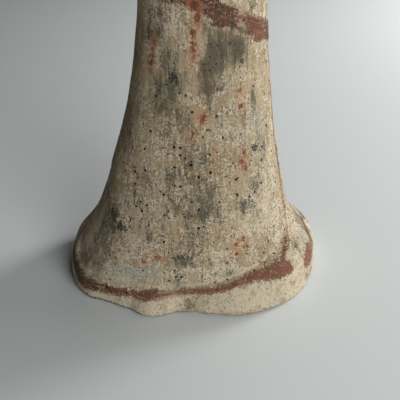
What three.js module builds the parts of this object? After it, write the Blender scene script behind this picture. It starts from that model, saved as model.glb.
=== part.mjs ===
// A standing attendant in a long wrapped robe: a hollow tomb figurine of fired clay, about 45 cm tall.
// Millimetres, +Z up. The figure faces -Y and stands on the flat rim of its open underside.
// The outer skin is one implicit form, negative inside. It is sampled by rays that leave the figure's
// own axis: level rays up to the brow, then a fan over the crown. A plain cavity follows it inside.
import * as THREE from "three";

// Driving dimensions
const HEIGHT = 450;
const HEAD_CENTRE_Z = 421;
const CHIN_Z = 383;
const SHOULDER_Z = 338;
const ELBOW_Z = 268;
const WRIST_Z = 262;
const HEM_STEP = 2.2; // how far the front panel stands proud of the robe under it
const ORIGIN_SHIFT = [-0.6, -0.7]; // brings the middle of the outline over the origin

// Sampling
const COLUMNS = 46;
const FRONT_DENSITY = 0.3; // columns crowd towards the face and the front of the hem
const OUTSIDE_RADIUS = 110;
const MARCH_STEP = 1.5;
const BISECTIONS = 14;
const CROWN_STEPS = 12;

const DEGREES = 180 / Math.PI;

// Small maths
const clamp = (v, low, high) => Math.min(high, Math.max(low, v));
const mix = (a, b, t) => a + (b - a) * t;
const smoothstep = (low, high, v) => {
  const t = clamp((v - low) / (high - low), 0, 1);
  return t * t * (3 - 2 * t);
};
const smoothMin = (a, b, k) => {
  const h = Math.max(k - Math.abs(a - b), 0) / k;
  return Math.min(a, b) - (h * h * k) / 4;
};
const smoothMax = (a, b, k) => -smoothMin(-a, -b, k);

// A smooth curve through [place, value] pairs, level beyond its ends.
function curve(pairs) {
  const places = pairs.map((p) => p[0]);
  const values = pairs.map((p) => p[1]);
  const last = pairs.length - 1;
  const slope = (i) => {
    if (i === 0 || i === last) return 0;
    const before = (values[i] - values[i - 1]) / (places[i] - places[i - 1]);
    const after = (values[i + 1] - values[i]) / (places[i + 1] - places[i]);
    return before * after <= 0 ? 0 : (2 * before * after) / (before + after);
  };
  const slopes = pairs.map((_, i) => slope(i));
  return (place) => {
    if (place <= places[0]) return values[0];
    if (place >= places[last]) return values[last];
    let i = 0;
    while (places[i + 1] < place) i += 1;
    const span = places[i + 1] - places[i];
    const t = (place - places[i]) / span;
    const t2 = t * t;
    const t3 = t2 * t;
    return (
      (2 * t3 - 3 * t2 + 1) * values[i] +
      (t3 - 2 * t2 + t) * span * slopes[i] +
      (3 * t2 - 2 * t3) * values[i + 1] +
      (t3 - t2) * span * slopes[i + 1]
    );
  };
}

// The same, for angles in degrees that run round the figure from its back, -180, by its front, 0, to 180.
function ringCurve(pairs) {
  const before = pairs.map(([a, v]) => [a - 360, v]);
  const after = pairs.map(([a, v]) => [a + 360, v]);
  return curve([...before, ...pairs, ...after]);
}

// Distance to an ellipsoid, near enough for forms that blend.
function ellipsoid(x, y, z, [cx, cy, cz], [rx, ry, rz]) {
  const dx = x - cx;
  const dy = y - cy;
  const dz = z - cz;
  const unit = Math.hypot(dx / rx, dy / ry, dz / rz);
  const gradient = Math.hypot(dx / (rx * rx), dy / (ry * ry), dz / (rz * rz));
  return gradient > 1e-9 ? (unit * (unit - 1)) / gradient : -Math.min(rx, ry, rz);
}

// Distance to a limb that tapers from one ball to another.
function limb(x, y, z, from, to, fromRadius, toRadius) {
  const d = [to[0] - from[0], to[1] - from[1], to[2] - from[2]];
  const p = [x - from[0], y - from[1], z - from[2]];
  const along = (p[0] * d[0] + p[1] * d[1] + p[2] * d[2]) / (d[0] * d[0] + d[1] * d[1] + d[2] * d[2]);
  const t = clamp(along, 0, 1);
  const away = Math.hypot(p[0] - t * d[0], p[1] - t * d[1], p[2] - t * d[2]);
  return away - mix(fromRadius, toRadius, t);
}

// The robe's section at each height: where its middle lies, and its half widths to either side.
const axisX = curve([[0, 0.2], [42, 1], [58, 1.5], [75, 2.2], [106, 4], [134, 5], [161, 5.15]]);
const UPPER_WIDTHS = [
  [75, 46.9], [90, 43], [106, 39.8], [121, 37.4], [134, 35.5], [161, 32.35], [200, 31], [225, 32], [250, 36],
  [285, 40], [315, 41], [338, 40], [350, 35], [360, 26], [368, 18.5], [377, 14.5], [392, 14],
];
const rightWidth = curve([[0, 64], [17, 61], [26, 58.5], [43, 54.8], [58, 51.2], ...UPPER_WIDTHS]);
const leftWidth = curve([[0, 75.5], [8, 75], [17, 71.3], [30, 65.4], [43, 57], [58, 51.2], ...UPPER_WIDTHS]);
const frontDepth = curve([
  [0, 49.5], [16, 46.6], [25, 44.6], [40, 41.4], [60, 38], [90, 34], [120, 31], [161, 28.2], [200, 26.5],
  [250, 27], [300, 30], [330, 29], [345, 26], [358, 20.5], [368, 16], [377, 13.5], [392, 13.5],
]);
const backDepth = curve([
  [0, 50], [16, 47.6], [25, 45.5], [40, 42], [60, 38.5], [90, 35], [120, 32], [161, 29.5], [200, 28],
  [250, 29], [300, 31.5], [330, 31], [345, 28.5], [358, 23.5], [368, 19], [377, 16], [392, 15.5],
]);

// The foot's outline on the ground: radius by angle, with the lobes of the hem.
const footOutline = ringCurve([
  [-161, 55], [-142, 62], [-124, 70], [-110, 74], [-99, 74.2], [-85, 72.8], [-77, 73.1], [-70, 73],
  [-64, 71.6], [-58, 68.9], [-53, 64.9], [-47, 61.8], [-42, 60.4], [-36, 58.8], [-29, 59.5], [-24, 58.8],
  [-17, 54.6], [-9, 50.2], [0, 49.3], [8, 51.6], [16, 54], [27, 58.8], [38, 62.3], [50, 66.2], [60, 69.3],
  [72, 71.4], [85, 73.8], [98, 76.8], [110, 77], [126, 71], [140, 60.5], [152, 57.5], [166, 57],
  [180, 52.5],
]);
// How the robe under the panel draws in as it rises from the foot.
const tailFlare = curve([
  [0, 1], [8, 0.992], [14, 0.98], [20, 0.96], [25, 0.905], [29, 0.85], [33, 0.802], [38, 0.75],
  [46, 0.682], [58, 0.57], [90, 0.3],
]);

// The front panel's border: its lower edge by angle, and its two side edges by height.
const hemHeight = curve([
  [-90, 12], [-75, 12], [-60, 13], [-45, 14.5], [-30, 14], [-15, 15.5], [0, 16.5], [15, 18], [30, 20.5],
  [45, 23.5], [60, 28], [72, 36],
]);
const hemRight = curve([[14, 58], [20, 62], [26, 69], [39, 81], [52, 86], [145, 86]]);
const hemLeft = curve([[6, -66], [12, -72], [18, -78], [25, -83], [34, -87], [48, -90], [180, -92]]);

// Where the wrapped robe's diagonal edge runs: its height by angle, once round and rising to the left.
const wrapHeight = curve([
  [-360, 297.5], [-270, 257.5], [-180, 221.5], [-120, 200.5], [-80, 187.5], [-45, 174.5], [-20, 166],
  [0, 161.5], [25, 155.5], [50, 149], [80, 142.5], [100, 138.5],
]);

const SETTLED = [90, 150]; // heights between which the panel's border fades into the robe
const HEM_SPAN = [-90, 72]; // angles between which the lower edge runs
const CORNER_ROUNDING = 9;
const BORDER_SOFTNESS = 0.9;

// Positive inside the front panel, in millimetres from its border.
function insidePanel(angle, z, radius) {
  const arc = radius / DEGREES;
  const sides = Math.min((hemRight(z) - angle) * arc, (angle - hemLeft(z)) * arc);
  return smoothMin(z - hemHeight(clamp(angle, ...HEM_SPAN)), sides, CORNER_ROUNDING);
}

// Radius of an oval whose half widths differ on each side.
function ovalRadius(angle, z) {
  const across = Math.sin(angle / DEGREES) / (angle > 0 ? rightWidth(z) : leftWidth(z));
  const along = Math.cos(angle / DEGREES) / (Math.abs(angle) < 90 ? frontDepth(z) : backDepth(z));
  return 1 / Math.hypot(across, along);
}

// The robe's radius from its own middle, with the panel, the tails and the lobes at its foot.
const TAIL_START = [58, 78]; // angles to either side over which the skirting gives way to a tail
const TAIL_STEP = 0.7 * HEM_STEP;
const TAIL_BLEND = 6;
function robeRadius(angle, z) {
  const panel = ovalRadius(angle, z);
  if (z > SETTLED[1]) return panel;
  const foot = footOutline(angle);
  const hem = hemHeight(clamp(angle, ...HEM_SPAN));
  const rise = clamp(z / hem, 0, 1);
  const hemRadius = ovalRadius(angle, Math.max(z, hem)) - HEM_STEP;
  const skirting = mix(hemRadius, foot, Math.sqrt(1 - rise * rise));
  const tail = smoothMax(panel - TAIL_STEP, foot * tailFlare(z), TAIL_BLEND);
  const under = mix(skirting, tail, smoothstep(...TAIL_START, Math.abs(angle)));
  const proud = smoothstep(-BORDER_SOFTNESS, BORDER_SOFTNESS, insidePanel(angle, z, panel));
  return mix(mix(under, panel, proud), panel, smoothstep(...SETTLED, z));
}

// A low step where the wrapped robe ends above the skirt.
const WRAP_STEP = 0.9;
const WRAP_SOFTNESS = 1.5;
const WRAP_LOWEST = 130;
const WRAP_TURN = 100; // angle past which the edge belongs to its next turn
const WRAP_FADE = [60, 20]; // heights above the edge between which the step fades out
function wrapRelief(angle, z) {
  if (z < WRAP_LOWEST) return 0;
  const edge = wrapHeight(angle > WRAP_TURN ? angle - 360 : angle);
  const above = z - edge;
  return WRAP_STEP * smoothstep(-WRAP_SOFTNESS, WRAP_SOFTNESS, above) * smoothstep(...WRAP_FADE, above);
}

// Crossed collars: a strip each side of the neck, the wearer's left one on top.
const COLLARS = [
  // start x, z; end x, z; half width; height
  [[16, 368], [-30, 302], 4, 1.5],
  [[-16, 368], [-3, 346], 4, 1.1],
  [[10, 369], [-4, 350], 2.4, 0.7],
  [[-10, 369], [-1, 353], 2.4, 0.7],
];
const COLLAR_HEIGHTS = [285, 378];
const COLLAR_BACK = 8; // how far round the neck they run, along y
const COLLAR_SOFTNESS = 0.8;

// 1 on the strip that joins two points across the front, and 0 beside it.
function stripAt(x, z, from, to, halfWidth) {
  const dx = to[0] - from[0];
  const dz = to[1] - from[1];
  const t = clamp(((x - from[0]) * dx + (z - from[1]) * dz) / (dx * dx + dz * dz), 0, 1);
  const away = Math.hypot(x - from[0] - t * dx, z - from[1] - t * dz);
  return 1 - smoothstep(halfWidth - COLLAR_SOFTNESS, halfWidth + COLLAR_SOFTNESS, away);
}
function collarRelief(x, y, z) {
  if (z < COLLAR_HEIGHTS[0] || z > COLLAR_HEIGHTS[1] || y > COLLAR_BACK) return 0;
  const heights = COLLARS.map(([from, to, halfWidth, height]) => height * stripAt(x, z, from, to, halfWidth));
  return Math.max(...heights);
}

// The full sleeves: arms bent at the elbow, bags of cloth below the forearms, and cuffs that meet in front.
const ELBOW = [41, -3, ELBOW_Z];
const SHOULDER = [30, 1, SHOULDER_Z];
const WRIST = [8, -35, WRIST_Z];
const ARM_RADII = { shoulder: 15, elbow: 19.5, forearm: 18.5, wrist: 13.5 };
const BAG_CENTRE = [25.5, -21, 233];
const BAG_RADII = [23, 16.5, 40];
const CUFF_Y = -38.5;
const CUFF_RADII = [12.5, 14.5];
const CUFF_SIDE = 9.5;
const CUFF_GAP = 1.1; // half the groove where the cuffs meet
const FOLD_DEPTH = 2.2;
const FOLDS = 9; // phase of the folds to each radian about the wrist
const FOLD_CENTRE = [4, 10]; // from the wrist, inwards and up
const FOLD_REACH = [14, 40]; // distances from the wrist between which the folds deepen
const FOLD_HEIGHTS = [300, 262];
const SLEEVE_HEIGHTS = [180, 375];
const FAR = 20; // stands for the distance of forms that are nowhere near

function sleeves(x, y, z) {
  if (z < SLEEVE_HEIGHTS[0] || z > SLEEVE_HEIGHTS[1]) return FAR;
  const side = Math.abs(x);
  const upper = limb(side, y, z, SHOULDER, ELBOW, ARM_RADII.shoulder, ARM_RADII.elbow);
  const fore = limb(side, y, z, ELBOW, WRIST, ARM_RADII.forearm, ARM_RADII.wrist);
  const bag = ellipsoid(side, y, z, BAG_CENTRE, BAG_RADII);
  const cloth = smoothMin(smoothMin(upper, fore, 9), bag, 12);
  const turn = Math.atan2(side - WRIST[0] + FOLD_CENTRE[0], WRIST[2] + FOLD_CENTRE[1] - z);
  const reach = smoothstep(...FOLD_REACH, Math.hypot(side - WRIST[0], z - WRIST[2]));
  const folds = FOLD_DEPTH * reach * Math.sin(turn * FOLDS + 0.6) * smoothstep(...FOLD_HEIGHTS, z);
  const cuffAcross = Math.hypot((y - CUFF_Y) / CUFF_RADII[0], (z - WRIST_Z) / CUFF_RADII[1]) - 1;
  const cuff = Math.max(cuffAcross * CUFF_RADII[0], side - CUFF_SIDE, CUFF_GAP - side);
  return smoothMin(cloth + folds, cuff, 2.5);
}

// The head: a calm, plain face, hair parted in the middle and a low knot at the nape.
const HAIR_DEPTH = 1.7;
const HAIRLINE_Z = 434;
const EYE = [8.7, 415]; // to the side, and height
const MOUTH_Z = 395.2;
const HEAD_LOWEST = 355;
const KNOT_CENTRE = [0, 25, 393];
const KNOT_RADII = [12.5, 9.8, 12.5];

// Positive where hair covers the head, in millimetres from the hairline.
function insideHair(x, y, z) {
  const side = Math.abs(x);
  const brow = z - (HAIRLINE_Z - 0.055 * side * side - 0.1 * side) - 0.5 * (y + 24);
  return smoothMax(brow / Math.hypot(1.1, 0.11 * side + 0.1), y - 6, 6);
}

// Adds the cheeks, chin, eyes, nose and mouth to the plain front of the head.
function features(x, y, z, plain) {
  const side = Math.abs(x);
  const [eye, eyeZ] = EYE;
  const cheek = ellipsoid(side, y, z, [10, -13.5, 404], [8.5, 9, 9.5]);
  const muzzle = ellipsoid(x, y, z, [0, -17.5, MOUTH_Z + 1], [9.5, 6.6, 7]);
  const chin = ellipsoid(x, y, z, [0, -15.2, CHIN_Z + 6], [9, 7.8, 6]);
  let skin = smoothMin(smoothMin(plain, cheek, 6), smoothMin(muzzle, chin, 5), 5);
  const brow = ellipsoid(side, y, z, [eye + 0.3, -19.9, eyeZ + 6.6], [8.2, 4.6, 2.6]);
  skin = smoothMin(skin, brow, 3.5);
  const socket = ellipsoid(side, y, z, [eye - 0.2, -27.9, eyeZ + 0.8], [7.4, 5.8, 4.4]);
  skin = smoothMax(skin, -socket, 1.8);
  const ball = ellipsoid(side, y, z, [eye, -18.1, eyeZ], [5.7, 5.6, 3.7]);
  skin = smoothMin(skin, ball, 0.9);
  const nose = limb(x, y, z, [0, -22.6, eyeZ + 2.5], [0, -26.6, 404.8], 1.7, 2.9);
  const nostrils = ellipsoid(side, y, z, [3, -24.6, 403.8], [2.1, 2.6, 1.8]);
  skin = smoothMin(smoothMin(skin, nose, 3), nostrils, 1.8);
  const upperLip = ellipsoid(x, y, z, [0, -23.1, MOUTH_Z + 1.4], [6.6, 2.7, 1.7]);
  const lowerLip = ellipsoid(x, y, z, [0, -22.9, MOUTH_Z - 1.7], [5.4, 2.7, 1.9]);
  return smoothMin(skin, Math.min(upperLip, lowerLip), 0.7);
}

function head(x, y, z) {
  if (z < HEAD_LOWEST) return FAR;
  const side = Math.abs(x);
  const cranium = ellipsoid(x, y, z, [0, 2.5, HEAD_CENTRE_Z], [24, 27, 27]);
  const jaw = ellipsoid(x, y, z, [0, -5.5, CHIN_Z + 25], [19.2, 19.5, 25]);
  let skin = smoothMin(cranium, jaw, 12);
  if (y < 0 && z < HAIRLINE_Z) skin = features(x, y, z, skin);
  const ear = ellipsoid(side, y, z, [21.6, 1.5, 408], [3.2, 5, 8.4]);
  skin = smoothMin(skin, ear, 1.6);
  const hair = HAIR_DEPTH * smoothstep(-1.4, 2.2, insideHair(x, y, z));
  const parting = smoothstep(2, 0.2, side) * smoothstep(18, -2, y) * smoothstep(425, 436, z);
  const knot = ellipsoid(x, y, z, KNOT_CENTRE, KNOT_RADII);
  const tail = ellipsoid(x, y, z, [0, 24, 372], [7.5, 8.5, 15]);
  return smoothMin(skin - hair + parting, smoothMin(knot, tail, 4), 3);
}

// The whole outer skin: negative inside, in about millimetres.
const NECK_TOP = 392;
const BODY_BLEND = 5; // how softly the sleeves and the head grow out of the robe
const STEEPNESS = 0.9; // turns the robe's excess radius into about a distance
function outerForm(x, y, z) {
  const middle = axisX(z);
  const radius = Math.hypot(x - middle, y);
  const angle = Math.atan2(x - middle, -y) * DEGREES;
  const reach = robeRadius(angle, z) + wrapRelief(angle, z);
  const localX = x - axisX(HEIGHT);
  let form = (radius - reach) * STEEPNESS - collarRelief(localX, y, z);
  form = smoothMax(form, z - NECK_TOP, 3);
  form = smoothMin(form, sleeves(localX, y, z), BODY_BLEND);
  return smoothMin(form, head(localX, y, z), BODY_BLEND);
}

// The cavity's half widths: walls of 8 to 12 mm, thicker at the spreading foot.
const cavityWidth = curve([
  [0, 60], [8, 58], [20, 53], [40, 45.5], [75, 37.5], [120, 28.5], [161, 24], [200, 22], [250, 25], [300, 29],
  [325, 26], [340, 17], [345, 9],
]);
const cavityDepth = curve([
  [0, 38], [8, 37], [20, 35.5], [40, 31.5], [75, 26.5], [120, 22], [161, 19.5], [200, 18], [250, 18.5], [300, 21],
  [325, 19], [340, 13], [345, 7],
]);

// Heights of the level rings, closest where the form turns fastest.
const OUTER_LEVELS = [
  0, 2.5, 5, 7.5, 10, 12.5, 15, 17.5, 20, 23, 26, 30, 34, 38, 43, 50, 60, 72, 86, 100, 116, 132, 142, 150, 158, 166,
  174, 182, 189, 192, 195, 198, 202, 207, 213, 220, 228, 236, 243, 248, 252, 257, 262, 267, 272, 277, 284, 293,
  303, 313, 322, 330, 337, 343, 349, 354, 359, 363, 367, 371, 375, 378, 380.5, 382.5, 384.5, 387, 389.5, 392, 394.5,
  397, 399.5, 402, 404.5, 407, 410, 413, 416, 419, 422,
];
const CAVITY_LEVELS = [8, 20, 40, 75, 120, 161, 200, 250, 300, 325, 340];
const CAVITY_TOP = 345;
const CROWN_CENTRE_Z = 422;

const columnAngles = Array.from({ length: COLUMNS }, (_, i) => {
  const turn = (2 * Math.PI * i) / COLUMNS - Math.PI;
  return turn - FRONT_DENSITY * Math.sin(turn);
});

// Marches in from outside along one ray and returns the point where the skin is met.
function skinPoint(origin, direction) {
  let outside = OUTSIDE_RADIUS;
  const at = (r) => origin.map((o, i) => o + direction[i] * r);
  while (outside > MARCH_STEP && outerForm(...at(outside - MARCH_STEP)) > 0) outside -= MARCH_STEP;
  let inside = outside - MARCH_STEP;
  for (let i = 0; i < BISECTIONS; i += 1) {
    const middle = (inside + outside) / 2;
    if (outerForm(...at(middle)) > 0) outside = middle;
    else inside = middle;
  }
  return at(inside);
}

// One ring of skin points, whose rays rise at the given elevation.
function skinRing(z, elevation) {
  const origin = [axisX(z), 0, z];
  return columnAngles.map((angle) =>
    skinPoint(origin, [
      Math.sin(angle) * Math.cos(elevation),
      -Math.cos(angle) * Math.cos(elevation),
      Math.sin(elevation),
    ]),
  );
}

function cavityRing(z) {
  return columnAngles.map((angle) => {
    const radius = 1 / Math.hypot(Math.sin(angle) / cavityWidth(z), Math.cos(angle) / cavityDepth(z));
    return [axisX(z) + Math.sin(angle) * radius, -Math.cos(angle) * radius, z];
  });
}

// Joins rings that run from the top of the cavity, down and out under the rim, and up to the crown.
function closedSkin() {
  const crownFan = Array.from({ length: CROWN_STEPS }, (_, i) => {
    return skinRing(CROWN_CENTRE_Z, ((i + 1) / (CROWN_STEPS + 1)) * (Math.PI / 2));
  });
  const rings = [
    ...[...CAVITY_LEVELS].reverse().map(cavityRing),
    cavityRing(0),
    ...OUTER_LEVELS.map((z) => skinRing(z, 0)),
    ...crownFan,
  ];
  const crown = skinPoint([axisX(HEIGHT), 0, CROWN_CENTRE_Z], [0, 0, 1]);
  const points = [[axisX(CAVITY_TOP), 0, CAVITY_TOP], ...rings.flat(), crown];
  const faces = [];
  const vertex = (ring, column) => 1 + ring * COLUMNS + (column % COLUMNS);
  for (let column = 0; column < COLUMNS; column += 1) {
    faces.push(0, vertex(0, column + 1), vertex(0, column));
    faces.push(points.length - 1, vertex(rings.length - 1, column), vertex(rings.length - 1, column + 1));
    for (let ring = 0; ring + 1 < rings.length; ring += 1) {
      const a = vertex(ring, column);
      const b = vertex(ring, column + 1);
      const c = vertex(ring + 1, column + 1);
      const d = vertex(ring + 1, column);
      faces.push(a, c, d, a, b, c);
    }
  }
  const geometry = new THREE.BufferGeometry();
  geometry.setAttribute("position", new THREE.Float32BufferAttribute(points.flat(), 3));
  geometry.setIndex(faces);
  geometry.computeVertexNormals();
  return geometry;
}

const slippedClay = new THREE.MeshStandardMaterial({ color: 0xb3a488, roughness: 0.95, metalness: 0 });
const figurine = new THREE.Mesh(closedSkin(), slippedClay);
figurine.name = "figurine";
figurine.position.set(...ORIGIN_SHIFT, 0);

const part = new THREE.Group();
part.add(figurine);

export default part;
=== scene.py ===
# A hollow tomb figurine of fired clay: a standing attendant in a long wrapped robe, dressed in its worn
# slip, red painted hems, burial stains and pits.
# The form is worked out in millimetres in the figure's own frame, which faces -Y, and built in metres.
import itertools
import math

import bmesh
import bpy
import numpy as np
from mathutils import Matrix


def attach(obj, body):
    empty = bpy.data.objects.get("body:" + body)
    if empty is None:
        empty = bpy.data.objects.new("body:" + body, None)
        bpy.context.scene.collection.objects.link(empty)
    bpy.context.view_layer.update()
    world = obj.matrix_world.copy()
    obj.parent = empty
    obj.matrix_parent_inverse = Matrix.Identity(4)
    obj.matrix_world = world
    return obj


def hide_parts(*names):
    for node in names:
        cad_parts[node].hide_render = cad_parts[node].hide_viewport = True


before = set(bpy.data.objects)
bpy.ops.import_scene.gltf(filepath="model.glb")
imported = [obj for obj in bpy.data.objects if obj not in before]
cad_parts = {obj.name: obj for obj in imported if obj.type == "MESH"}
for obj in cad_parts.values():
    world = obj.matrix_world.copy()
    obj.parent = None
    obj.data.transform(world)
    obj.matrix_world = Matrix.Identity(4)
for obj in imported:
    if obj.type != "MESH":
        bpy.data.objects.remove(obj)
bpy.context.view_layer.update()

# Driving dimensions
MM = 0.001
HEIGHT = 450.0
HEAD_CENTRE_Z = 421.0
CHIN_Z = 383.0
SHOULDER_Z = 338.0
ELBOW_Z = 268.0
WRIST_Z = 262.0
HEM_STEP = 2.2  # how far the front panel stands proud of the robe under it
ORIGIN_SHIFT = np.array([-0.6, -0.7, 0.0])  # from the figure's own frame to the part's

# Mesh
NET_STEP = 2.16  # side of the cells that the skin is first found in
NET_LOW = np.array([-82.4, -60.4, -4.0])
NET_HIGH = np.array([82.0, 62.0, 456.0])
PROJECTIONS = 5  # how many times the finest points are moved onto the skin
SEED = 7
SKIRT_TOP = 172  # the skirt's front is finest up to here, and its marks are placed one by one


# Small maths
def mix(a, b, t):
    return a + (b - a) * t


def smoothstep(low, high, value):
    t = np.clip((value - low) / (high - low), 0, 1)
    return t * t * (3 - 2 * t)


def smooth_min(a, b, k):
    h = np.maximum(k - np.abs(a - b), 0) / k
    return np.minimum(a, b) - h * h * k / 4


def smooth_max(a, b, k):
    return -smooth_min(-a, -b, k)


def within(value, low, high):
    return (value > low) & (value < high)


def curve(*pairs):
    """A smooth curve through (place, value) pairs, level beyond its ends."""
    places, values = np.array(pairs, float).T
    rises = np.diff(values) / np.diff(places)
    before, after = rises[:-1], rises[1:]
    rising = before * after > 0
    slopes = np.zeros(len(pairs))
    slopes[1:-1][rising] = 2 * (before * after)[rising] / (before + after)[rising]

    def at(place):
        place = np.clip(place, places[0], places[-1])
        i = np.clip(np.searchsorted(places, place, side="right") - 1, 0, len(places) - 2)
        span = places[i + 1] - places[i]
        t = (place - places[i]) / span
        rise_in = (2 * t**3 - 3 * t**2 + 1) * values[i] + (t**3 - 2 * t**2 + t) * span * slopes[i]
        rise_out = (3 * t**2 - 2 * t**3) * values[i + 1] + (t**3 - t**2) * span * slopes[i + 1]
        return rise_in + rise_out

    return at


def ring_curve(*pairs):
    """The same, for angles in degrees that run round the figure."""
    return curve(*[(angle + turn, value) for turn in (-360, 0, 360) for angle, value in pairs])


def ellipsoid(x, y, z, centre, radii):
    """Distance to an ellipsoid, near enough for forms that blend."""
    d = [v - c for v, c in zip((x, y, z), centre)]
    unit = np.sqrt(sum((v / r) ** 2 for v, r in zip(d, radii)))
    gradient = np.sqrt(sum((v / r**2) ** 2 for v, r in zip(d, radii)))
    return unit * (unit - 1) / np.maximum(gradient, 1e-9)


def limb(x, y, z, start, end, start_radius, end_radius):
    """Distance to a limb that tapers from one ball to another."""
    d = np.subtract(end, start)
    p = [v - s for v, s in zip((x, y, z), start)]
    t = np.clip(sum(v * w for v, w in zip(p, d)) / (d @ d), 0, 1)
    away = np.sqrt(sum((v - t * w) ** 2 for v, w in zip(p, d)))
    return away - mix(start_radius, end_radius, t)


def lattice_noise(points, size, seed=SEED):
    """Smooth noise between -1 and 1, with one random value at each corner of a lattice of the given size."""
    places = points / size
    corner = np.floor(places)
    part = places - corner
    part = part * part * (3 - 2 * part)
    total = np.zeros(len(points))
    for step in itertools.product((0, 1), repeat=3):
        key = (corner + step) @ np.array([12.9898, 78.233, 37.719]) + seed * 4.7
        value = np.sin(key) * 43758.5453
        weight = np.prod(np.where(step, part, 1 - part), axis=1)
        total += weight * (2 * (value - np.floor(value)) - 1)
    return total


# The robe's section at each height: where its middle lies, and its half widths to either side
axis_x = curve((0, 0.2), (42, 1), (58, 1.5), (75, 2.2), (106, 4), (134, 5), (161, 5.15))
UPPER_WIDTHS = (
    (75, 46.9), (90, 43), (106, 39.8), (121, 37.4), (134, 35.5), (161, 32.35), (200, 31), (225, 32),
    (250, 36), (285, 40), (315, 41), (338, 40), (350, 35), (360, 26), (368, 18.5), (377, 14.5), (392, 14),
)
right_width = curve((0, 64), (17, 61), (26, 58.5), (43, 54.8), (58, 51.2), *UPPER_WIDTHS)
left_width = curve((0, 75.5), (8, 75), (17, 71.3), (30, 65.4), (43, 57), (58, 51.2), *UPPER_WIDTHS)
front_depth = curve(
    (0, 49.5), (16, 46.6), (25, 44.6), (40, 41.4), (60, 38), (90, 34), (120, 31), (161, 28.2), (200, 26.5),
    (250, 27), (300, 30), (330, 29), (345, 26), (358, 20.5), (368, 16), (377, 13.5), (392, 13.5),
)
back_depth = curve(
    (0, 50), (16, 47.6), (25, 45.5), (40, 42), (60, 38.5), (90, 35), (120, 32), (161, 29.5), (200, 28),
    (250, 29), (300, 31.5), (330, 31), (345, 28.5), (358, 23.5), (368, 19), (377, 16), (392, 15.5),
)

# The foot's outline on the ground: radius by angle, with the lobes of the hem
foot_outline = ring_curve(
    (-161, 55), (-142, 62), (-124, 70), (-110, 74), (-99, 74.2), (-85, 72.8), (-77, 73.1), (-70, 73),
    (-64, 71.6), (-58, 68.9), (-53, 64.9), (-47, 61.8), (-42, 60.4), (-36, 58.8), (-29, 59.5), (-24, 58.8),
    (-17, 54.6), (-9, 50.2), (0, 49.3), (8, 51.6), (16, 54), (27, 58.8), (38, 62.3), (50, 66.2), (60, 69.3),
    (72, 71.4), (85, 73.8), (98, 76.8), (110, 77), (126, 71), (140, 60.5), (152, 57.5), (166, 57),
    (180, 52.5),
)
# How the robe under the panel draws in as it rises from the foot
tail_flare = curve(
    (0, 1), (8, 0.992), (14, 0.98), (20, 0.96), (25, 0.905), (29, 0.85), (33, 0.802), (38, 0.75),
    (46, 0.682), (58, 0.57), (90, 0.3),
)

# The front panel's border: its lower edge by angle, and its two side edges by height
hem_height = curve(
    (-90, 12), (-75, 12), (-60, 13), (-45, 14.5), (-30, 14), (-15, 15.5), (0, 16.5), (15, 18), (30, 20.5),
    (45, 23.5), (60, 28), (72, 36),
)
hem_right = curve((14, 58), (20, 62), (26, 69), (39, 81), (52, 86), (145, 86))
hem_left = curve((6, -66), (12, -72), (18, -78), (25, -83), (34, -87), (48, -90), (180, -92))

# Where the wrapped robe's diagonal edge runs: its height by angle, once round and rising to the left
wrap_height = curve(
    (-360, 297.5), (-270, 257.5), (-180, 221.5), (-120, 200.5), (-80, 187.5), (-45, 174.5), (-20, 166),
    (0, 161.5), (25, 155.5), (50, 149), (80, 142.5), (100, 138.5),
)

SETTLED = (90, 150)  # heights between which the panel's border fades into the robe
HEM_SPAN = (-90, 72)  # angles between which the lower edge runs
CORNER_ROUNDING = 9
BORDER_SOFTNESS = 0.9
TAIL_START = (58, 78)  # angles to either side over which the skirting gives way to a tail
TAIL_STEP = 0.7 * HEM_STEP
TAIL_BLEND = 6


def inside_panel(angle, z, radius):
    """Positive inside the front panel, in millimetres from its border."""
    arc = np.radians(radius)
    sides = np.minimum((hem_right(z) - angle) * arc, (angle - hem_left(z)) * arc)
    return smooth_min(z - hem_height(np.clip(angle, *HEM_SPAN)), sides, CORNER_ROUNDING)


def oval_radius(angle, z):
    """Radius of an oval whose half widths differ on each side."""
    across = np.sin(np.radians(angle)) / np.where(angle > 0, right_width(z), left_width(z))
    along = np.cos(np.radians(angle)) / np.where(np.abs(angle) < 90, front_depth(z), back_depth(z))
    return 1 / np.hypot(across, along)


def robe_radius(angle, z):
    """The robe's radius from its own middle, with the panel, the tails and the lobes at its foot."""
    radius = oval_radius(angle, z)
    low = z < SETTLED[1]
    radius[low] = foot_radius(angle[low], z[low], radius[low])
    return radius


def foot_radius(angle, z, panel):
    """The same low down, where the front panel stands proud of the robe under it."""
    foot = foot_outline(angle)
    hem = hem_height(np.clip(angle, *HEM_SPAN))
    rise = np.clip(z / hem, 0, 1)
    hem_radius = oval_radius(angle, np.maximum(z, hem)) - HEM_STEP
    skirting = mix(hem_radius, foot, np.sqrt(1 - rise * rise))
    tail = smooth_max(panel - TAIL_STEP, foot * tail_flare(z), TAIL_BLEND)
    under = mix(skirting, tail, smoothstep(*TAIL_START, np.abs(angle)))
    proud = smoothstep(-BORDER_SOFTNESS, BORDER_SOFTNESS, inside_panel(angle, z, panel))
    return mix(mix(under, panel, proud), panel, smoothstep(*SETTLED, z))


# A low step where the wrapped robe ends above the skirt
WRAP_STEP = 0.9
WRAP_SOFTNESS = 1.5
WRAP_LOWEST = 130
WRAP_TURN = 100  # angle past which the edge belongs to its next turn
WRAP_FADE = (60, 20)  # heights above the edge between which the step fades out


def wrap_edge(angle):
    """Height of the wrapped robe's edge, which passes the wearer's right side once on its way up."""
    return wrap_height(np.where(angle > WRAP_TURN, angle - 360, angle))


def wrap_relief(angle, z):
    above = z - wrap_edge(angle)
    step = WRAP_STEP * smoothstep(-WRAP_SOFTNESS, WRAP_SOFTNESS, above)
    return step * smoothstep(*WRAP_FADE, above) * (z > WRAP_LOWEST)


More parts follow.
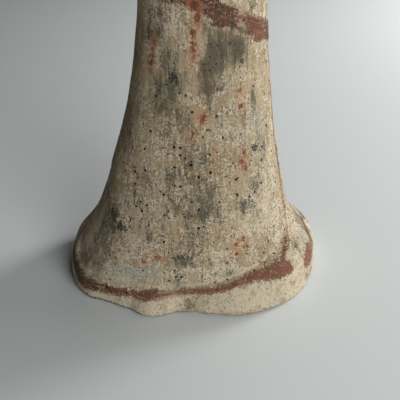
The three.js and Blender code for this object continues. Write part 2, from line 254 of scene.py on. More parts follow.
# Crossed collars: a strip each side of the neck, the wearer's left one on top
COLLARS = (
    # start x, z; end x, z; half width; height
    ((16, 368), (-30, 302), 4.0, 1.5),
    ((-16, 368), (-3, 346), 4.0, 1.1),
    ((10, 369), (-4, 350), 2.4, 0.7),
    ((-10, 369), (-1, 353), 2.4, 0.7),
)
COLLAR_HEIGHTS = (285, 378)
COLLAR_BACK = 8  # how far round the neck they run, along y
COLLAR_SOFTNESS = 0.8


def strip_distance(x, z, start, end):
    """Distance across the front from the line between two points."""
    dx, dz = end[0] - start[0], end[1] - start[1]
    t = np.clip(((x - start[0]) * dx + (z - start[1]) * dz) / (dx * dx + dz * dz), 0, 1)
    return np.hypot(x - start[0] - t * dx, z - start[1] - t * dz)


def collar_relief(x, y, z):
    relief = 0
    for start, end, half_width, height in COLLARS:
        away = strip_distance(x, z, start, end)
        strip = 1 - smoothstep(half_width - COLLAR_SOFTNESS, half_width + COLLAR_SOFTNESS, away)
        relief = np.maximum(relief, height * strip)
    return relief * (within(z, *COLLAR_HEIGHTS) & (y <= COLLAR_BACK))


# The full sleeves: bent arms, bags of cloth below the forearms, and cuffs that meet in front
ELBOW = (41, -3, ELBOW_Z)
SHOULDER = (30, 1, SHOULDER_Z)
WRIST = (8, -35, WRIST_Z)
UPPER_ARM_RADII = (15, 19.5)
FOREARM_RADII = (18.5, 13.5)
BAG_CENTRE = (25.5, -21, 233)
BAG_RADII = (23, 16.5, 40)
CUFF_Y = -38.5
CUFF_RADII = (12.5, 14.5)
CUFF_SIDE = 9.5
CUFF_GAP = 1.1  # half the groove where the cuffs meet
FOLD_DEPTH = 2.2
FOLDS = 9  # phase of the folds to each radian about the wrist
FOLD_CENTRE = (4, 10)  # from the wrist, inwards and up
FOLD_REACH = (14, 40)  # distances from the wrist between which the folds deepen
FOLD_HEIGHTS = (300, 262)
SLEEVE_HEIGHTS = (180, 375)


def sleeves(x, y, z):
    side = np.abs(x)
    upper = limb(side, y, z, SHOULDER, ELBOW, *UPPER_ARM_RADII)
    fore = limb(side, y, z, ELBOW, WRIST, *FOREARM_RADII)
    bag = ellipsoid(side, y, z, BAG_CENTRE, BAG_RADII)
    cloth = smooth_min(smooth_min(upper, fore, 9), bag, 12)
    turn = np.arctan2(side - WRIST[0] + FOLD_CENTRE[0], WRIST[2] + FOLD_CENTRE[1] - z)
    reach = smoothstep(*FOLD_REACH, np.hypot(side - WRIST[0], z - WRIST[2]))
    folds = FOLD_DEPTH * reach * np.sin(turn * FOLDS + 0.6) * smoothstep(*FOLD_HEIGHTS, z)
    across = np.hypot((y - CUFF_Y) / CUFF_RADII[0], (z - WRIST_Z) / CUFF_RADII[1]) - 1
    cuff = np.maximum(np.maximum(across * CUFF_RADII[0], side - CUFF_SIDE), CUFF_GAP - side)
    return smooth_min(cloth + folds, cuff, 2.5)


# The head: a calm, plain face, hair parted in the middle and a low knot at the nape
HEAD_LOWEST = 355
HAIR_DEPTH = 1.7
HAIRLINE_Z = 434.0
KNOT_CENTRE = (0, 25, 393)
KNOT_RADII = (12.5, 9.8, 12.5)
LOCKS = 62  # phase of the locks to each radian about the knot
EYE = (8.7, 415.0)  # to the side, and height
MOUTH_Z = 395.2


def inside_hair(x, y, z):
    """Positive where hair covers the head, in millimetres from the hairline."""
    side = np.abs(x)
    brow = z - (HAIRLINE_Z - 0.055 * side * side - 0.1 * side) - 0.5 * (y + 24)
    return smooth_max(brow / np.hypot(1.1, 0.11 * side + 0.1), y - 6, 6)


def lid_height(side, drop):
    """Height of the line where the lids meet, which droops outwards from below the eye's middle."""
    eye, eye_z = EYE
    return eye_z - drop - 0.035 * (side - eye + 1) ** 2


def features(x, y, z, skin):
    """Adds the eyes, nose, mouth, cheeks and chin to the plain front of the head."""
    side = np.abs(x)
    eye, eye_z = EYE
    cheek = ellipsoid(side, y, z, (10, -13.5, 404), (8.5, 9, 9.5))
    muzzle = ellipsoid(x, y, z, (0, -17.5, MOUTH_Z + 1), (9.5, 6.6, 7))
    chin = ellipsoid(x, y, z, (0, -15.2, CHIN_Z + 6), (9, 7.8, 6))
    skin = smooth_min(smooth_min(skin, cheek, 6), smooth_min(muzzle, chin, 5), 5)
    brow = ellipsoid(side, y, z, (eye + 0.3, -19.9, eye_z + 6.6), (8.2, 4.6, 2.6))
    skin = smooth_min(skin, brow, 3.5)
    socket = ellipsoid(side, y, z, (eye - 0.2, -27.9, eye_z + 0.8), (7.4, 5.8, 4.4))
    skin = smooth_max(skin, -socket, 1.8)
    ball = ellipsoid(side, y, z, (eye, -18.1, eye_z), (5.7, 5.6, 3.7))
    skin = smooth_min(skin, ball, 0.9)
    slit = np.maximum(np.abs(z - lid_height(side, 0.6)) - 0.35, np.abs(side - eye) - 4.4)
    skin = smooth_max(skin, -smooth_max(slit, skin + 0.8, 0.3), 0.5)
    nose = limb(x, y, z, (0, -22.6, eye_z + 2.5), (0, -26.6, 404.8), 1.7, 2.9)
    nostrils = ellipsoid(side, y, z, (3, -24.6, 403.8), (2.1, 2.6, 1.8))
    skin = smooth_min(smooth_min(skin, nose, 3), nostrils, 1.8)
    upper_lip = ellipsoid(x, y, z, (0, -23.1, MOUTH_Z + 1.4), (6.6, 2.7, 1.7))
    lower_lip = ellipsoid(x, y, z, (0, -22.9, MOUTH_Z - 1.7), (5.4, 2.7, 1.9))
    return smooth_min(skin, np.minimum(upper_lip, lower_lip), 0.7)


def head(x, y, z):
    side = np.abs(x)
    cranium = ellipsoid(x, y, z, (0, 2.5, HEAD_CENTRE_Z), (24, 27, 27))
    jaw = ellipsoid(x, y, z, (0, -5.5, CHIN_Z + 25), (19.2, 19.5, 25))
    skin = smooth_min(cranium, jaw, 12)
    front = (y < 0) & (z < HAIRLINE_Z)
    skin[front] = features(x[front], y[front], z[front], skin[front])
    ear = ellipsoid(side, y, z, (21.6, 1.5, 408), (3.2, 5, 8.4))
    ear = smooth_max(ear, -ellipsoid(side, y, z, (25.2, 0.2, 409), (2.2, 2.6, 4.6)), 1.2)
    skin = smooth_min(skin, ear, 1.6)
    hair = HAIR_DEPTH * smoothstep(-1.4, 2.2, inside_hair(x, y, z))
    parting = smoothstep(2.0, 0.2, side) * smoothstep(18, -2, y) * smoothstep(425, 436, z)
    knot = ellipsoid(x, y, z, KNOT_CENTRE, KNOT_RADII)
    tail = ellipsoid(x, y, z, (0, 24, 372), (7.5, 8.5, 15))
    return smooth_min(skin - hair + parting, smooth_min(knot, tail, 4), 3)


# The cavity's half widths: walls of 8 to 12 mm, thicker at the spreading foot
cavity_width = curve(
    (0, 60), (8, 58), (20, 53), (40, 45.5), (75, 37.5), (120, 28.5), (161, 24), (200, 22), (250, 25),
    (300, 29), (325, 26), (340, 17), (345, 9),
)
cavity_depth = curve(
    (0, 38), (8, 37), (20, 35.5), (40, 31.5), (75, 26.5), (120, 22), (161, 19.5), (200, 18), (250, 18.5),
    (300, 21), (325, 19), (340, 13), (345, 7),
)
CAVITY_TOP = 345
RIM_ROUNDING = 2.2
NECK_TOP = 392
BODY_BLEND = 5  # how softly the sleeves and the head grow out of the robe
STEEPNESS = 0.9  # turns the robe's excess radius into about a distance


def chart(p):
    """Where points lie round the figure: angle in degrees, 0 in front and 90 at the right, and radius."""
    across = p[:, 0] - axis_x(p[:, 2])
    return np.degrees(np.arctan2(across, -p[:, 1])), np.hypot(across, p[:, 1])


def outer_form(p):
    """The whole outer skin: negative inside, in about millimetres."""
    x, y, z = p.T
    angle, radius = chart(p)
    x = x - axis_x(HEIGHT)
    form = (radius - robe_radius(angle, z) - wrap_relief(angle, z)) * STEEPNESS - collar_relief(x, y, z)
    form = smooth_max(form, z - NECK_TOP, 3)
    arms = within(z, *SLEEVE_HEIGHTS)
    form[arms] = smooth_min(form[arms], sleeves(x[arms], y[arms], z[arms]), BODY_BLEND)
    top = z > HEAD_LOWEST
    form[top] = smooth_min(form[top], head(x[top], y[top], z[top]), BODY_BLEND)
    return form


def cavity_form(p):
    """The hollow inside: negative within it."""
    x, y, z = p.T
    width, depth = cavity_width(z), cavity_depth(z)
    walls = (np.hypot((x - axis_x(z)) / width, y / depth) - 1) * np.minimum(width, depth)
    return smooth_max(walls, z - CAVITY_TOP, 6)


def clay_form(p):
    """The fired clay itself: the outer skin, less the cavity, cut flat where it stands."""
    hollowed = smooth_max(outer_form(p), -cavity_form(p), 2.5)
    return smooth_max(hollowed, -p[:, 2], RIM_ROUNDING)


# What lies on the clay, found at each point of the skin. A mark is given by its angle in degrees, its height,
# its half width and its half height in millimetres, and its strength from 0 to 1.
# Soot and the grey stains of burial
SOOT = (
    (11, 139, 6.5, 12, 1.0), (19.5, 152, 5, 3, 0.9), (18, 147, 4, 5, 0.9), (6, 126, 5, 6, 0.8),
    (36, 143, 4.5, 7, 1.0), (19, 163.5, 3.6, 3.4, 0.9), (-55, 150, 5.5, 4, 1.0), (-38, 147, 4, 4, 0.4),
    (-31, 138, 4, 7, 0.9), (-34, 129, 6, 7, 1.0), (-26, 126, 7, 10, 0.8), (-34, 114, 8, 7, 0.7),
    (-14, 112, 4, 5, 0.5), (30, 123, 3, 4, 0.5), (-32, 102, 5, 4, 0.8), (7, 115, 4, 4, 0.6),
    (50, 116, 3, 8, 0.6), (54, 97, 4.5, 11, 0.5), (21, 95, 5, 8, 0.65), (3, 87, 4, 8, 0.8),
    (-21, 79.5, 5, 5, 0.75), (-43, 77, 3, 5, 0.6), (-2.5, 91, 3, 9, 0.45), (30, 99, 2.5, 3, 0.6),
    (67, 92, 2, 5, 0.4), (-2, 77, 5, 4, 0.8), (47, 71, 4, 5, 0.95), (39.5, 59.5, 4, 3, 1.0),
    (-5, 69, 3.5, 4, 0.8), (13, 69, 4, 4, 0.4), (7, 58, 9, 5, 0.9), (-12, 60, 4, 4, 0.8),
    (-43, 56, 4, 4, 0.2), (-55, 41, 4, 4, 0.6), (-3, 42, 7.5, 8, 0.6), (44, 35, 5.5, 5, 0.25),
    (71, 6, 7, 5, 1.0), (88, 12, 6, 8, 0.7), (92, 27, 5, 6, 0.75), (-67, 18, 5, 6, 0.5), (-2, 7, 4, 4, 1.0),
    (-8, 30, 10, 3.5, 0.7), (10, 29, 8, 3, 0.25), (20, 23, 9, 2.5, 0.4), (-62, 42, 4, 5, 0.6),
    (-68, 31, 7, 9, 0.75), (-72, 16, 5, 6, 0.8), (-60, 20, 4, 8, 0.5), (70, 28, 3, 4, 0.9),
    (95, 31, 4, 3, 0.8), (-2, 5, 4, 3, 0.4),
)
# Chalky places, where the slip is cleanest
CHALK = (
    (-29, 152, 5, 6, 0.7), (2, 146, 3, 5, 0.5), (18, 131, 3.5, 4, 0.7), (13, 121, 4, 4, 0.5),
    (30, 107, 4, 9, 0.8), (37, 97, 3.5, 8, 0.8), (55, 58, 4.5, 8, 0.9), (65, 47, 4, 8, 1.0),
    (66, 77, 3, 9, 0.7), (64, 33, 3, 4, 0.8), (-45, 33, 8, 8, 1.0), (-45, 18, 9, 5, 1.0),
    (-24, 16, 8, 4, 0.5), (43, 26, 5, 4, 0.7), (22, 25, 6, 3, 0.8), (-44, 26, 6, 5, 0.6),
    (36, 55, 5, 5, 0.6), (66, 18, 3, 5, 0.9), (8, 24, 8, 4, 0.5), (20, 34, 7, 4, 0.9), (40, 48, 6, 6, 0.9),
    (53, 45, 5, 5, 0.9), (62, 25, 2.5, 4, 1.0),
)
# Thick green-black crusts
DEPOSITS = (
    (-64, 49, 4, 5.5, 1.0), (-55, 44, 4, 3, 0.9), (-8, 33, 7.5, 1.6, 0.7), (50.5, 90.8, 2.6, 2.0, 1.0),
    (-27, 130, 2.8, 2.8, 1.0), (-50, 139, 1.9, 1.9, 1.0), (39, 138, 1.4, 1.8, 0.9),
)
# A thin cold grey film
FILM = (
    (-29, 23, 10, 4, 0.8), (-52, 18, 5.5, 3.5, 0.5), (-66, 28, 4.5, 7, 0.3), (73, 24, 5.5, 2, 0.7),
    (85, 25, 6, 4, 1.0), (56, 105, 5, 9, 0.7), (58, 88, 4, 8, 0.6), (-41, 21, 8, 3.5, 0.9),
    (100, 26, 3, 4, 0.9), (-6, 31, 9, 3, 0.5),
)
# Brown earth stains
EARTH = (
    (-75, 98, 9, 13, 0.95), (-71, 135, 7, 24, 0.95), (-36, 104, 6, 4, 0.5), (-2, 4.5, 4.5, 4.5, 1.0),
    (78, 4, 5, 3.5, 0.9), (22, 49, 4, 4, 0.6), (-71, 54, 7, 10, 0.45), (9, 46, 11, 7, 0.3),
)
# Pink blushes of thinned red
BLUSH = (
    (0, 114, 4.5, 5, 0.8), (15, 88, 2, 16, 0.6), (-26, 92, 2, 5, 0.6), (-50, 143, 4, 5, 0.7),
    (32, 38, 6, 7, 0.5), (-5, 158, 4, 7, 0.5), (28, 149, 6, 2.5, 0.5),
)
# Drops and runs of red
DRIPS = (
    (-7, 166, 2.3, 2.6, 1), (-4, 160, 1.3, 3.4, 1), (-8, 153, 1.6, 1.8, 1), (-8, 146, 1.0, 6, 1),
    (-50, 136, 2.1, 1.8, 1), (-48, 145, 1.1, 3, 1), (-51, 132, 1.2, 1, 1), (37, 123, 1.2, 1.5, 1),
    (38, 115, 1.6, 1.6, 1), (3, 110, 1.4, 2.6, 1), (-6, 101, 1, 1.6, 1), (41, 90, 1.2, 1.4, 1),
    (39, 85, 1.4, 1.4, 1), (42, 81, 0.9, 2, 1), (37, 41, 1.2, 1.1, 1), (32, 38, 1.2, 1.2, 1),
    (39, 36, 1.2, 1.1, 1), (32, 33, 1.5, 1.4, 1), (-34, 28, 1.3, 1.1, 1), (-25, 32, 2.1, 0.8, 1),
)
# Dents and crusts that can be felt, and places where the bands are rubbed bare
PITS = (
    (-27, 130, 1.6, 1.6, 0.8), (-50, 139, 1.4, 1.4, 1.0), (52, 91, 1.5, 1.5, 0.6), (46, 109, 1.1, 1.1, 0.6),
)
CRUSTS = ((-64, 49, 3.5, 5, 0.5), (-55, 44, 3.5, 2.6, 0.5), (-4, 4, 3.6, 2.6, 0.8))
BARE = ((-12, 12, 7, 4, 0.8), (-47, 6, 6, 3, 0.4), (69, 27, 3, 3, 0.8))

# The hem's red band: its two edges by angle, how much of it is worn away, and how dark the rest is
hem_band_top = ring_curve(
    (-140, 17), (-110, 20), (-90, 19), (-75, 14.4), (-67, 12), (-61, 11.2), (-47, 11), (-43, 12),
    (-33, 12.4), (-24, 14.3), (-19, 14), (5, 15.8), (13, 16.3), (23, 18.2), (34, 20.6), (40, 21.8),
    (50, 23.2), (56, 24.4), (59, 23.6), (61, 20), (63, 12), (72, 14), (78, 17), (84, 21.6), (90, 26.6),
    (95, 29), (105, 26), (120, 20), (170, 17),
)
hem_band_low = ring_curve(
    (-140, 10), (-110, 12), (-90, 12), (-78, 9.2), (-72, 6.7), (-63, 4.4), (-58, 5.3), (-46, 6.6),
    (-38, 8.4), (-31, 8.4), (-22, 10.4), (0, 11.8), (12, 12.7), (22, 14.8), (32, 17.2), (41, 17.8),
    (45, 16.8), (49, 16.4), (58, 16.2), (61, 18), (63, 21), (72, 16), (78, 12), (84, 18), (90, 23.6),
    (95, 26.6), (105, 20), (120, 12), (170, 8),
)
hem_wear = ring_curve(
    (-150, 0.5), (-79, 0.1), (-58, 0.15), (-40, 0.35), (-28, 0.2), (-12, 0.5), (10, 0.35), (45, 0.2),
    (60, 0), (72, 0.15), (84, 0.45), (100, 0.45),
)
hem_dark = ring_curve(
    (-150, 0.4), (-79, 1.2), (-58, 1.1), (-44, 0.6), (-33, 0.1), (-15, 0.3), (15, 0.2), (45, 0), (90, 0.1),
    (150, 0.4),
)
HEM_TOP = 60  # the red wears as the hem's band does up to here, and as the diagonal band does above

# The thin line on the panel's right border: its angle by height
border_line = curve(
    (24, 58.5), (27, 62), (29.4, 64.8), (33.4, 69.5), (37, 75), (49, 78), (90, 80), (143, 82),
)
BORDER_LINE_HALF = 1.3
BORDER_LINE_HEIGHTS = (23, 143)

# A red patch on the tail, and three where the diagonal band swells
RED_PATCHES = (
    (79, 16, 13, 6.5, 1.0), (18, 158, 4.5, 3.6, 1.0), (60, 147.5, 4, 3.5, 1.0), (-30, 167.5, 7, 2, 1.0),
)

# The diagonal band above the wrapped robe's edge, its wear and how dark it is, and its lower turn, which runs
# on round the back to the panel's left edge
WRAP_BAND = 10.5
wrap_wear = curve(
    (-60, 0.6), (-30, 0.5), (-12, 0.35), (5, 0.1), (17, -0.1), (28, 0), (34, 0.4), (37, 1), (42, 1),
    (46, 0.05), (70, 0.05), (100, 0.35),
)
wrap_dark = curve((-60, 0.7), (-12, 0.5), (4, 0.9), (15, 1.1), (32, 0.9), (46, 0.4), (70, 0.8), (100, 0.5))
back_turn = curve((86, 141.5), (100, 138.5), (140, 131.5), (180, 126.5), (268, 116.5))
BACK_TURN_SPAN = (90, 268)

# The red of the collars and the cuffs
RED_COLLAR_HEIGHTS = (300, 372)
RED_COLLAR_BACK = 6
CUFF_BAND = (13, 5)  # its radius and half width
CUFF_BAND_SIDE = CUFF_SIDE + 2.5
NOWHERE = -9.0  # stands for the distance inside marks that are nowhere near

# How high the black dirt and painted contact shade climb from the rim, by angle
rim_dirt_and_shade_height = ring_curve(
    (-150, 1.2), (-72, 1.6), (-58, 2.4), (-34, 2.4), (-26, 1.2), (45, 1.0), (120, 1.2),
)

LIP_HEIGHT = 0.45  # of the ridge of slip along the panel's border
BRUSHED = (1, 1, 0.14)  # how streaks are drawn out upwards
SOOT_EVERYWHERE = 0.22
MARKED_ANGLE = 95  # how far round to either side the named marks reach


def mark_distance(place, mark):
    """Distance from a mark's middle, where its rim is 1."""
    angle, radius, z = place
    at_angle, at_z, half_width, half_height, _ = mark
    turn = (angle - at_angle + 180) % 360 - 180
    return np.hypot(np.radians(turn) * radius / half_width, (z - at_z) / half_height)


def patches(place, marks):
    """How strongly soft marks cover each point."""
    bare = 1
    for mark in marks:
        bare = bare * (1 - mark[4] * np.exp(-0.9 * mark_distance(place, mark) ** 2))
    return 1 - bare


def spots(place, marks):
    """How far each point lies inside the nearest small spot, in millimetres."""
    return np.max([(1 - mark_distance(place, mark)) * min(mark[2:4]) for mark in marks], axis=0)


def scattered(count, seed, size, strength):
    """Marks drawn at random over what the named ones leave clear: the back, the sides and the upper body."""
    draw = np.random.default_rng(seed)
    marks = []
    while len(marks) < count:
        angle, z = draw.uniform(-180, 180), draw.uniform(10, HEIGHT)
        half_width, tall, share = draw.uniform(*size), draw.uniform(0.8, 2.2), draw.uniform(0.5, 1)
        if abs(angle) > MARKED_ANGLE or z > SKIRT_TOP:
            marks.append((angle, z, half_width, half_width * tall, share * strength))
    return tuple(marks)


def diagonal_band_inside(angle, z):
    """How far each point lies inside the diagonal band, in either of its turns."""
    unwound = np.where(angle < 0, angle + 360, angle)
    heights = z - wrap_edge(angle), z - back_turn(unwound)
    upper, lower = [np.minimum(WRAP_BAND - above, above) for above in heights]
    return np.where(within(unwound, *BACK_TURN_SPAN), np.maximum(upper, lower), upper)


def red_inside(p, place, climb):
    """How far each point lies inside a red band, in millimetres."""
    angle, radius, z = place
    x, y = p[:, 0] - axis_x(HEIGHT), p[:, 1]
    hem = np.minimum(hem_band_top(angle) - z, z - hem_band_low(angle)) / climb
    border = BORDER_LINE_HALF - np.abs(border_line(z) - angle) * np.radians(radius)
    border = np.where(within(z, *BORDER_LINE_HEIGHTS), border, NOWHERE)
    wrap = np.where(sleeves(x, y, z) < 1.5, NOWHERE, diagonal_band_inside(angle, z))
    strips = [half_width - strip_distance(x, z, start, end) for start, end, half_width, _ in COLLARS[:2]]
    on_collar = within(z, *RED_COLLAR_HEIGHTS) & (y < RED_COLLAR_BACK)
    collars = np.where(on_collar, np.max(strips, axis=0), NOWHERE)
    cuff_radius = np.hypot((y - CUFF_Y) * CUFF_RADII[1] / CUFF_RADII[0], z - WRIST_Z)
    cuffs = np.minimum(CUFF_BAND_SIDE - np.abs(x), CUFF_BAND[1] - np.abs(cuff_radius - CUFF_BAND[0]))
    cuffs = np.where((y < -25) & (np.abs(z - WRIST_Z) < 22), cuffs, NOWHERE)
    return np.max([hem, border, spots(place, RED_PATCHES), wrap, collars, cuffs], axis=0)


def rim_dirt_and_shade(angle, z):
    """How strongly black dirt and painted contact shade cover the rim, where the figure stands."""
    height = rim_dirt_and_shade_height(angle)
    return smoothstep(height, height * 0.4, z)


def border_ridge(angle, z, inset, reach):
    """1 on the ridge of slip along the panel's border, a little inside it, and 0 beside it."""
    inside = inside_panel(angle, z, oval_radius(angle, z))
    return np.exp(-((inside - inset) ** 2)) * (np.abs(angle) < reach) * (z < SETTLED[0])


def face_lines(side, z, face):
    """How far each point lies inside the dark lines of the brows and lids, in millimetres."""
    eye, eye_z = EYE
    brows = 1.0 - np.abs(z - eye_z - 7.6 + 0.03 * (side - eye) ** 2 - 0.05 * (side - eye))
    brows = np.where(face & within(side, 2.4, 16), brows, NOWHERE)
    lids = 0.7 - np.abs(z - lid_height(side, 0.5))
    lids = np.where(face & (np.abs(side - eye) < 5.4), lids, NOWHERE)
    return np.maximum(brows, lids)


def hair_inside(x, y, z):
    """How far each point lies inside the painted hair, the knot's included, in millimetres."""
    hair = np.where(z > CHIN_Z, inside_hair(x, y, z), NOWHERE)
    behind = (y > KNOT_CENTRE[1] - 12) & (np.hypot(x, y - 26) < 15)
    knot = np.where(behind & within(z, HEAD_LOWEST, KNOT_CENTRE[2] + 16), 3.0, NOWHERE)
    return np.maximum(hair, knot)


def paint_fields(p, normals):
    """Everything that the finish depends on from place to place, by name."""
    angle, radius = chart(p)
    x, y, z = p.T
    x = x - axis_x(HEIGHT)
    place = angle, radius, z
    low = z < HEM_TOP
    climb = np.sqrt(np.maximum(1 - normals[:, 2] ** 2, 0.08))
    face = (y < 0) & within(z, CHIN_Z, HAIRLINE_Z)
    lips = 1 - np.hypot(x / (6.2 - 0.2 * np.abs(z - MOUTH_Z)), (z - MOUTH_Z) / 3)
    # Below the hem's band the slip is painted paler: cleaner there, and painted light where the foot faces up
    foot = smoothstep(1.0, -2.0, z - hem_band_low(angle))
    speckled = 0.75 + 0.35 * smoothstep(150, 80, z)
    deposits = patches(place, DEPOSITS + scattered(12, SEED + 1, (1.5, 4), 1.0))
    earth_and_rim_shade = patches(place, EARTH + scattered(22, SEED + 3, (4, 10), 0.8))
    drips = spots(place, DRIPS + scattered(26, SEED + 5, (0.8, 1.8), 1.0))
    return {
        "outside": smoothstep(-3, -0.6, outer_form(p)),
        "hair": hair_inside(x, y, z),
        "strand": strand_angle(x, y, z),
        "brows": face_lines(np.abs(x), z, face),
        "lips": np.where(face, lips * 3, NOWHERE),
        "soot": SOOT_EVERYWHERE + patches(place, SOOT + scattered(34, SEED, (3, 9), 0.9)),
        # Crusts, and along the rim black dirt with painted contact shade
        "deposit_and_rim_shade": np.maximum(deposits, rim_dirt_and_shade(angle, z)),
        "film": patches(place, FILM + scattered(10, SEED + 2, (4, 9), 0.6)),
        # Brown earth stains, and along the bottom 2 mm a brown strip of painted contact shade
        "earth_and_rim_shade": np.maximum(earth_and_rim_shade, smoothstep(2.0, 0.2, z)),
        "blush": patches(place, BLUSH + scattered(10, SEED + 4, (2, 6), 0.6)),
        "drips": np.where(z < CHIN_Z, drips, NOWHERE),
        "red": red_inside(p, place, climb),
        "wear": np.maximum(patches(place, BARE), np.where(low, hem_wear(angle), wrap_wear(angle))),
        "dark": np.where(low, hem_dark(angle), wrap_dark(angle)),
        "along": np.radians(angle) * radius,
        "across": np.where(low, z - hem_band_low(angle), z - wrap_edge(angle)),
        "speckled": speckled * mix(0.45, 1, smoothstep(-75, -50, angle)) * (1 - 0.4 * foot),
        # Paler slip: the chalky places, and below the hem's band also painted light on the up-facing foot
        "clean_and_lit": np.maximum(foot, patches(place, CHALK)),
        "lip": border_ridge(angle, z, 0.7, 84),
    }


# The mesh
def tally(places, points, count):
    """Sums the points that share a place, and counts them in a fourth column."""
    columns = [*points.T, None]
    return np.stack([np.bincount(places, weights=column, minlength=count) for column in columns], axis=1)


def surface_net(form, low, high, step):
    """Finds the skin of a form on a lattice, as points and the quads that join them."""
    counts = np.ceil((np.array(high) - low) / step).astype(int) + 1
    axes = [low[i] + step * np.arange(counts[i]) for i in range(3)]
    grid = np.stack(np.meshgrid(*axes, indexing="ij"), axis=-1)
    value = form(grid.reshape(-1, 3)).reshape(counts)
    cells = counts - 1
    total = np.zeros((cells.prod(), 4))
    faces = []
    for axis in range(3):
        first = [slice(None)] * 3
        second = [slice(None)] * 3
        first[axis] = slice(0, -1)
        second[axis] = slice(1, None)
        a, b = value[tuple(first)], value[tuple(second)]
        crossed = (a < 0) != (b < 0)
        place = np.argwhere(crossed)
        share = a[crossed] / (a[crossed] - b[crossed])
        point = grid[tuple(place.T)].copy()
        point[:, axis] += share * step
        others = [i for i in range(3) if i != axis]
        around = []
        for shift in ((0, 0), (-1, 0), (-1, -1), (0, -1)):
            cell = place.copy()
            cell[:, others[0]] += shift[0]
            cell[:, others[1]] += shift[1]
            cell = np.ravel_multi_index(tuple(cell.T), cells)
            total += tally(cell, point, cells.prod())
            around.append(cell)
        quad = np.stack(around, axis=1)
        inwards = (a[crossed] < 0) != (axis == 1)
        quad[inwards] = quad[inwards][:, ::-1]
        faces.append(quad)
    faces = np.concatenate(faces)
    used = np.flatnonzero(total[:, 3])
    index = np.full(cells.prod(), -1)
    index[used] = np.arange(len(used))
    points = total[used, :3] / total[used, 3:]
    return points, index[faces][:, ::-1]


def gradient(form, points, reach=0.05):
    """The form's slope at each point, from four samples around it."""
    slope = np.zeros_like(points)
    for corner in ((1, 1, 1), (1, -1, -1), (-1, 1, -1), (-1, -1, 1)):
        step = np.array(corner) * reach
        slope += form(points + step)[:, None] * step
    return slope / (4 * reach * reach)


def project(form, points, rounds=PROJECTIONS, reach=1.2):
    """Moves points along the slope onto the skin."""
    for _ in range(rounds):
        slope = gradient(form, points)
        steepness = np.maximum((slope**2).sum(axis=1), 0.2)
        move = slope * (form(points) / steepness)[:, None]
        length = np.linalg.norm(move, axis=1, keepdims=True)
        points = points - move * np.minimum(1, reach / np.maximum(length, 1e-9))
    return points


def relax(points, edges, rounds, share=0.5):
    """Evens out the spacing of points, each moving part way to the middle of its neighbours."""
    for _ in range(rounds):
        a, b = edges.T
        total = tally(a, points[b], len(points)) + tally(b, points[a], len(points))
        points = mix(points, total[:, :3] / total[:, 3:], share)
    return points


def mesh_edges(faces):
    pairs = np.concatenate([faces[:, [i, (i + 1) % 4]] for i in range(4)])
    return np.unique(np.sort(pairs, axis=1), axis=0)


def wants_detail(p):
    """Where the mesh is made twice as fine: the face, the front of the skirt, the cuffs and the collars."""
    x, y, z = p.T
    face = within(z, 384, 446) & (y < 0)
    skirt = (z < SKIRT_TOP) & (y < 4)
    chest = within(z, 244, 372) & (y < -24)
    return (face | skirt | chest) & (outer_form(p) > -1.5)


def wants_more_detail(p):
    """Where it is made twice as fine again: the eyes, nose and mouth."""
    x, y, z = p.T
    return within(z, 388, 426) & (y < -14) & (np.abs(x - axis_x(HEIGHT)) < 17)


def refine(points, faces):
    """Cuts the quads that want detail into four, and those that want more into four again."""
    mesh = bmesh.new()
    for point in points:
        mesh.verts.new(point)
    mesh.verts.ensure_lookup_table()
    for face in faces:
        mesh.faces.new([mesh.verts[i] for i in face])
    for wanted in (wants_detail, wants_more_detail):
        mesh.verts.index_update()
        chosen = wanted(np.array([v.co for v in mesh.verts]))
        picked = [e for e in mesh.edges if chosen[e.verts[0].index] and chosen[e.verts[1].index]]
        bmesh.ops.subdivide_edges(mesh, edges=picked, cuts=1, use_grid_fill=True)
    return mesh


def strand_angle(x, y, z):
    """The hair's strands run back from the parting to the knot: which one each point is on, in radians."""
    return np.arctan2(z - KNOT_CENTRE[2], KNOT_CENTRE[1] - y)


def relief(p, place):
    """Fine height of the hand-finished surface, in millimetres."""
    angle, radius, z = place
    lumps = 0.3 * lattice_noise(p, 28) + 0.16 * lattice_noise(p, 9, SEED + 1)
    brushed = 0.1 * lattice_noise(p * BRUSHED, 2.4, SEED + 2) * (z < HAIRLINE_Z - 45)
    dents = -0.5 * smoothstep(0.5, 0.85, lattice_noise(p, 4.2, SEED + 3))
    lip = LIP_HEIGHT * border_ridge(angle, z, 0.9, 80)
    pits = -0.9 * patches(place, PITS)
    crust = 0.5 * patches(place, CRUSTS)
    x, y = p[:, 0] - axis_x(HEIGHT), p[:, 1]
    covered = smoothstep(0.3, 1.6, inside_hair(x, y, z)) * (z > CHIN_Z)
    waves = strand_angle(x, y, z) * LOCKS + 1.5 * lattice_noise(p, 14, SEED + 4)
    locks = 0.3 * np.sin(waves) * (y < KNOT_CENTRE[1] - 8)
    return lumps + brushed + dents + lip + pits + crust + covered * locks


